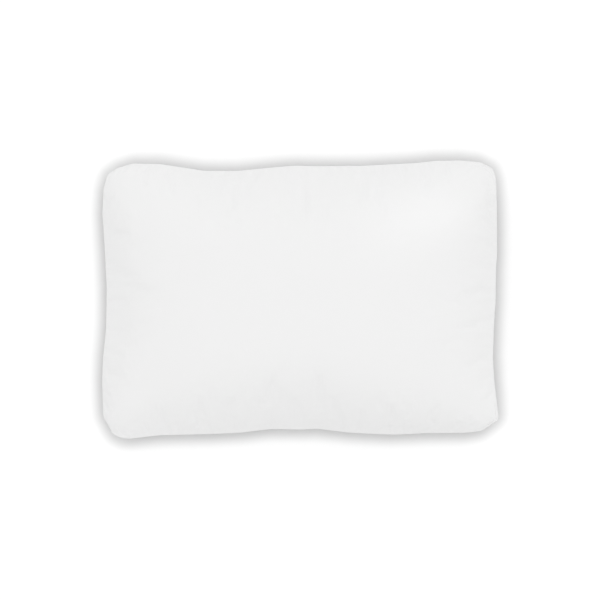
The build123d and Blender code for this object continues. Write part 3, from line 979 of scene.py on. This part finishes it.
def twisted(name, tone, roughness, sheen):
    """Spun thread: a slanted twist, with single fibres that catch the light."""
    made, tree, shader = nodes_of(name)
    finish_of(shader, roughness, sheen)
    place = add(tree, "ShaderNodeTexCoord").outputs["Object"]
    twist = banded(tree, place, scale=900.0, distortion=2.0, detail=1.0)
    mottle = noise(tree, place, 300.0)
    toned(tree, shader, tone, 0.03, mottle)
    raised(tree, shader, [(twist, 0.00005)])
    return made


TWILL_FOLD = 0.0015  # how far the tape's ribs run before they turn
TWILL_RIB = 0.0008


def herringbone(name, tone):
    """The tape's twill, in rows that change their slant every millimetre or two."""
    made, tree, shader = nodes_of(name)
    finish_of(shader, 0.75, sheen=0.25)
    place = add(tree, "ShaderNodeUVMap", uv_map="cloth").outputs[0]
    part = add(tree, "ShaderNodeSeparateXYZ", {0: place})
    fold = maths(tree, "PINGPONG", part.outputs[1], TWILL_FOLD)
    slant = maths(tree, "ADD", part.outputs[0], fold)
    ribs = maths(tree, "SINE", maths(tree, "MULTIPLY", slant, 2 * math.pi / TWILL_RIB))
    ribs = maths(tree, "MULTIPLY_ADD", ribs, 0.5, 0.5)
    mottle = noise(tree, place, 400.0)
    toned(tree, shader, tone, 0.03, halves(tree, ribs, mottle))
    raised(tree, shader, [(mottle, 0.00004), (ribs, 0.0001)])
    return made


def satin(name, tone):
    """Smooth woven satin: long fine floats down the label."""
    made, tree, shader = nodes_of(name)
    finish_of(shader, 0.38, sheen=0.3)
    place = add(tree, "ShaderNodeUVMap", uv_map="cloth").outputs[0]
    floats = noise(tree, stretched(tree, place, (9000.0, 300.0, 1.0)), 1.0)
    mottle = noise(tree, place, 120.0)
    toned(tree, shader, tone, 0.02, halves(tree, floats, mottle))
    raised(tree, shader, [(mottle, 0.0001), (floats, 0.00003)])
    return made


def tufted(name, tone):
    """Carded hollow fibre: soft tufts and fine crossing strands."""
    made, tree, shader = nodes_of(name)
    finish_of(shader, 0.95, sheen=0.6)
    place = add(tree, "ShaderNodeTexCoord").outputs["Object"]
    tufts = noise(tree, place, 45.0, 5.0)
    strands = banded(tree, place, scale=70.0, distortion=22.0, detail=4.0)
    mask = maths(tree, "MULTIPLY_ADD", strands, 0.4, maths(tree, "MULTIPLY", tufts, 0.6))
    toned(tree, shader, tone, 0.05, mask)
    raised(tree, shader, [(tufts, 0.0015), (strands, 0.0003)])
    return made


def moulded(name, tone):
    """Drawn nylon wire: slightly clear, with faint lines along it."""
    made, tree, shader = nodes_of(name)
    finish_of(shader, 0.32, subsurface=0.2)
    place = add(tree, "ShaderNodeTexCoord").outputs["Object"]
    drawn = noise(tree, stretched(tree, place, (4000.0, 600.0, 4000.0)), 1.0)
    toned(tree, shader, tone, 0.03, drawn)
    raised(tree, shader, [(drawn, 0.00002)])
    return made


def plated(name, tone):
    """Die-cast zinc, nickel plated: fine polishing lines and rubbed patches."""
    made, tree, shader = nodes_of(name)
    finish_of(shader, 0.3, metallic=1.0)
    place = add(tree, "ShaderNodeTexCoord").outputs["Object"]
    polish = noise(tree, stretched(tree, place, (9000.0, 500.0, 9000.0)), 1.0)
    rubbed = noise(tree, place, 500.0, 3.0)
    toned(tree, shader, tone, 0.06, rubbed)
    tree.links.new(ranged(tree, rubbed, (0.3, 0.7), (0.22, 0.42)), shader.inputs["Roughness"])
    raised(tree, shader, [(rubbed, 0.00003), (polish, 0.00001)])
    return made


finishes = {
    "cover_cotton": woven(
        "cotton", (0.78, 0.78, 0.78), pitch=0.00032, depth=0.00006, roughness=0.88, sheen=0.12,
        drift=0.012, crumple=0.0003,
    ),
    "casing_cotton": woven(
        "casing", (0.76, 0.755, 0.74), pitch=0.00042, depth=0.00005, roughness=0.92, sheen=0.10,
        drift=0.02, crumple=0.00012,
    ),
    "hollow_fibre": tufted("fibre_tufts", (0.84, 0.84, 0.83)),
    "thread": twisted("sewing_thread", (0.80, 0.80, 0.79), roughness=0.6, sheen=0.2),
    "zip_tape": herringbone("tape_twill", (0.76, 0.76, 0.75)),
    "zip_nylon": moulded("coil_nylon", (0.80, 0.80, 0.79)),
    "label_satin": satin("satin", (0.82, 0.82, 0.81)),
    "zip_metal": plated("nickel", (0.46, 0.455, 0.44)),
}
for piece in list(bpy.context.scene.collection.all_objects):
    finish = piece.get("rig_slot")
    if piece.type == "MESH" and finish in finishes and "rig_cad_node" not in piece:
        piece.data.materials.clear()
        piece.data.materials.append(finishes[finish])
for node in ("zip_top_stops", "zip_bottom_stop", "zip_slider", "zip_pull_tab"):
    for held in frame["nodes"][node].material_slots:
        held.material = finishes["zip_metal"]


# ---- Stage, light and camera ----
PAPER = 0.95  # how pale the floor looks
PAPER_BOUNCE = 0.85  # how much light it throws back at the object
FLOOR_Z = -0.0003
FLOOR_SIZE = 20.0
FLOOR_STEP = 0.004
# How far each of the floor's rings of points is from the object's outline, for the shadow painted round
# its foot.
FLOOR_RINGS = (-0.008, -0.004, 0.0, 0.004, 0.008, 0.012, 0.016, 0.020, 0.024, 0.030, 0.060)
PAINTED_SHADOW_REACH = (-0.004, 0.030)  # where the shadow painted round the object's foot is deepest, and where it ends
# how dark the painted shadow is at its deepest, as a share of the paper's paleness
PAINTED_SHADOW_SHARE = 0.69
DOME = 1.335  # the dome's brightness overhead
DOME_FOOT = (-0.25, 0.20)  # sines of the heights where its light starts and is full
DOME_LEAN = 0.01  # how much brighter it is towards +X
KEY = 0.32  # a broad soft lamp high up on the +Y side
KEY_ANGLE = math.radians(40)
KEY_WAY = (-0.25, -0.80, -1.1)
RAKE = 3.6  # a narrow lamp that rakes along the fold at the +X +Y corner
RAKE_AT, RAKE_FROM = Vector((0.228, 0.153, 0.115)), Vector((0.978, 0.563, 0.545))
RAKE_WIDTH = math.radians(7.5)
RAKE_RADIUS = 0.05
VIEW_WIDTH = 1.0446  # what the picture takes in at the height of the seam
VIEW_MIDDLE = (-0.0003, -0.0007)
DISTANCE = 3.0
SENSOR = 36.0


def lay_floor():
    """Level ground, its points in rings round the object's outline, each with its distance from it, from
    which the paper's painted shadow is drawn.
    """
    line, _, inward = seam_points(cover_edge, 0.0, FLOOR_Z, FLOOR_STEP)
    rings = [line - away * inward for away in FLOOR_RINGS]
    rings.append(FLOOR_SIZE * unit(line * (1, 1, 0)) + (0, 0, FLOOR_Z))
    count = len(line)
    index = np.arange(len(rings) * count).reshape(len(rings), count)
    here, ahead = index[:-1], index[1:]
    quads = np.stack([here, ahead, np.roll(ahead, -1, axis=1), np.roll(here, -1, axis=1)], axis=-1)
    ground = make("floor", np.concatenate(rings), quads.reshape(-1, 4).tolist() + [index[0].tolist()])
    away = np.repeat([*FLOOR_RINGS, FLOOR_SIZE], count).astype(np.float32)
    ground.data.attributes.new("away", "FLOAT", "POINT").data.foreach_set("value", away)
    return ground


def seen_and_thrown(tree, thrown, seen):
    """What reflections and the light on other things get from a surface, and what the camera sees."""
    to_camera = add(tree, "ShaderNodeLightPath").outputs["Is Camera Ray"]
    inputs = {0: to_camera, 1: thrown.outputs[0], 2: seen.outputs[0]}
    return add(tree, "ShaderNodeMixShader", inputs).outputs[0]


def paper():
    """Pale paper with a painted shadow: as the camera sees it, it darkens close round the object's foot.
    """
    made = bpy.data.materials.new("paper")
    made.use_nodes = True
    tree = made.node_tree
    tree.nodes.clear()
    away = add(tree, "ShaderNodeAttribute", attribute_name="away").outputs["Fac"]
    # painted shadow: the paper that the camera sees darkens towards the object's outline
    tone = ranged(tree, away, PAINTED_SHADOW_REACH, (PAPER * PAINTED_SHADOW_SHARE, PAPER), "SMOOTHSTEP")
    seen = add(tree, "ShaderNodeBsdfDiffuse", {"Color": tone})
    thrown = add(tree, "ShaderNodeBsdfDiffuse", {"Color": (PAPER_BOUNCE, PAPER_BOUNCE, PAPER_BOUNCE, 1)})
    add(tree, "ShaderNodeOutputMaterial", {"Surface": seen_and_thrown(tree, thrown, seen)})
    return made


def studio():
    """A soft dome of light that fades out under the horizon, with a plain white backdrop."""
    world = bpy.data.worlds.new("studio")
    world.use_nodes = True
    tree = world.node_tree
    tree.nodes.clear()
    way = add(tree, "ShaderNodeTexCoord").outputs["Generated"]
    part = add(tree, "ShaderNodeSeparateXYZ", {0: way})
    foot = ranged(tree, part.outputs["Z"], DOME_FOOT, (0.0, DOME), "SMOOTHSTEP")
    lean = maths(tree, "MULTIPLY_ADD", part.outputs["X"], DOME_LEAN, 1.0)
    strength = maths(tree, "MULTIPLY", foot, lean)
    dome = add(tree, "ShaderNodeBackground", {"Strength": strength})
    backdrop = add(tree, "ShaderNodeBackground", {"Color": (1, 1, 1, 1)})
    add(tree, "ShaderNodeOutputWorld", {"Surface": seen_and_thrown(tree, dome, backdrop)})
    return world


def aim(name, data, at, way):
    """A lamp at a place, shining along a way."""
    placed = bpy.data.objects.new(name, data)
    placed.location = at
    placed.rotation_euler = Vector(way).to_track_quat("-Z", "Y").to_euler()
    bpy.context.scene.collection.objects.link(placed)


lay_floor().data.materials.append(paper())
bpy.context.scene.world = studio()

key = bpy.data.lights.new("key", "SUN")
key.energy = KEY
key.angle = KEY_ANGLE
aim("key", key, (0, 0, 0), KEY_WAY)

rake = bpy.data.lights.new("rake", "SPOT")
rake.energy = RAKE
rake.spot_size = RAKE_WIDTH
rake.spot_blend = 1.0
rake.shadow_soft_size = RAKE_RADIUS
aim("rake", rake, RAKE_FROM, RAKE_AT - RAKE_FROM)

lens = bpy.data.cameras.new("camera")
lens.sensor_width = SENSOR
lens.lens = SENSOR * DISTANCE / VIEW_WIDTH
camera = bpy.data.objects.new("camera", lens)
camera.location = (*VIEW_MIDDLE, seam_z + DISTANCE)
bpy.context.scene.collection.objects.link(camera)
bpy.context.scene.camera = camera
bpy.context.scene.view_settings.view_transform = "Standard"
